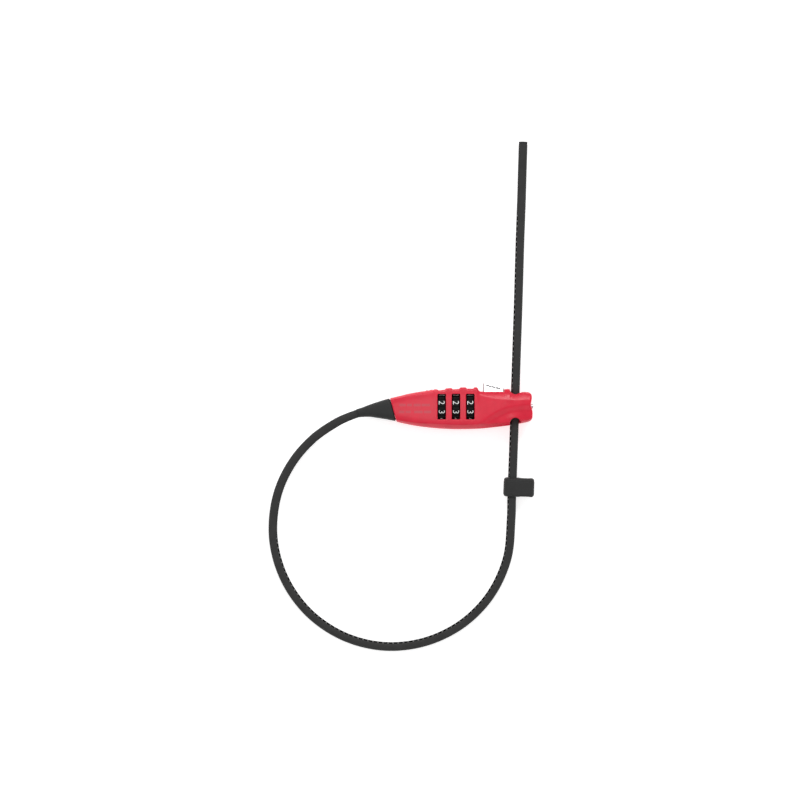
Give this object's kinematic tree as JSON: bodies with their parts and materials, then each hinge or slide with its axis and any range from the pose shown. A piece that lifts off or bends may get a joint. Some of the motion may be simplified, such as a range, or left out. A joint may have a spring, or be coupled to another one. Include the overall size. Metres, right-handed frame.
{
  "type": "cable luggage lock",
  "caption": "Dial combination luggage lock with a toothed ratchet strap that leaves a tapered boot, loops round and feeds back up through the head.",
  "frame": {"origin": "on the flat back of the lock body, under the middle dial's centre", "axes": "+X along the lock body towards the head where the strap passes, +Y across it towards the release lever, +Z from the flat back to the dials"},
  "size_m": [0.1223, 0.2349, 0.0157],
  "materials": {
    "red_shell": "satin moulded",
    "dial_plastic": "moulded, with white numerals",
    "nylon": "natural moulded",
    "lever_chrome": "bright plated, ribbed for the thumb",
    "strap_plastic": "moulded, toothed",
    "boot_rubber": "matt",
    "keeper_rubber": "matt",
    "zinc": "die-cast",
    "steel": "zinc plated"
  },
  "bodies": {
    "lock_body": {"front_shell": "red_shell", "rear_shell": "red_shell", "mechanism_frame": "zinc", "bearing_plate": "zinc", "detent_spring": "steel", "lever_pin": "steel", "pawl_pin": "steel", "spindle_spring": "steel", "pawl_spring": "steel", "reset_spring": "steel", "case_screw_1": "steel", "case_screw_2": "steel", "case_screw_3": "steel", "boot": "boot_rubber", "crimp_ferrule": "steel", "cable_core": "steel", "lock_strap": "strap_plastic", "strap_tip": "strap_plastic"},
    "dial_1": {"dial_wheel_1": "dial_plastic"},
    "dial_2": {"dial_wheel_2": "dial_plastic"},
    "dial_3": {"dial_wheel_3": "dial_plastic"},
    "hub_1": {"code_hub_1": "nylon"},
    "hub_2": {"code_hub_2": "nylon"},
    "hub_3": {"code_hub_3": "nylon"},
    "spindle": {"spindle": "zinc", "spindle_clip": "steel"},
    "lever": {"release_lever": "lever_chrome"},
    "pawl": {"pawl": "steel"},
    "reset": {"reset_slider": "zinc", "reset_button": "steel"},
    "keeper": {"keeper": "keeper_rubber"}
  },
  "joints": [
    {"name": "dial_1_turn", "type": "hinge", "parent": "lock_body", "child": "dial_1", "pos_m": [-0.00653, 0, 0.00885], "axis": [1, 0, 0], "continuous": true},
    {"name": "dial_2_turn", "type": "hinge", "parent": "lock_body", "child": "dial_2", "pos_m": [0, 0, 0.00885], "axis": [1, 0, 0], "continuous": true},
    {"name": "dial_3_turn", "type": "hinge", "parent": "lock_body", "child": "dial_3", "pos_m": [0.00653, 0, 0.00885], "axis": [1, 0, 0], "continuous": true},
    {"name": "hub_1_rephase", "type": "hinge", "parent": "dial_1", "child": "hub_1", "pos_m": [-0.00653, 0, 0.00885], "axis": [1, 0, 0], "continuous": true},
    {"name": "hub_2_rephase", "type": "hinge", "parent": "dial_2", "child": "hub_2", "pos_m": [0, 0, 0.00885], "axis": [1, 0, 0], "continuous": true},
    {"name": "hub_3_rephase", "type": "hinge", "parent": "dial_3", "child": "hub_3", "pos_m": [0.00653, 0, 0.00885], "axis": [1, 0, 0], "continuous": true},
    {"name": "lever_press", "type": "hinge", "parent": "lock_body", "child": "lever", "pos_m": [0.0209, 0.0059, 0.00725], "axis": [0, 0, 1], "range_deg": [0, 15.25]},
    {"name": "pawl_swing", "type": "hinge", "parent": "lock_body", "child": "pawl", "pos_m": [0.0218, -0.0036, 0.0057], "axis": [0, 0, 1], "range_deg": [0, 16.3], "deforming": ["pawl_spring"]},
    {"name": "spindle_slide", "type": "slide", "parent": "lock_body", "child": "spindle", "axis": [1, 0, 0], "range_m": [0, 0.0023], "stiffness_N_per_m": 1000, "springref_m": -0.003, "deforming": ["spindle_spring"]},
    {"name": "reset_press", "type": "slide", "parent": "lock_body", "child": "reset", "axis": [-1, 0, 0], "range_m": [0, 0.0009], "stiffness_N_per_m": 300, "springref_m": -0.001, "deforming": ["reset_spring"]},
    {"name": "keeper_slide", "type": "slide", "parent": "lock_body", "child": "keeper", "axis": [0.0343, 0.9976, 0.0608], "range_m": [-0.008, 0.012]}
  ],
  "couplings": [
    {"joint": "lever_press", "follows": "spindle_slide", "rad_per_m": 113.83},
    {"joint": "pawl_swing", "follows": "spindle_slide", "rad_per_m": 121.42}
  ]
}
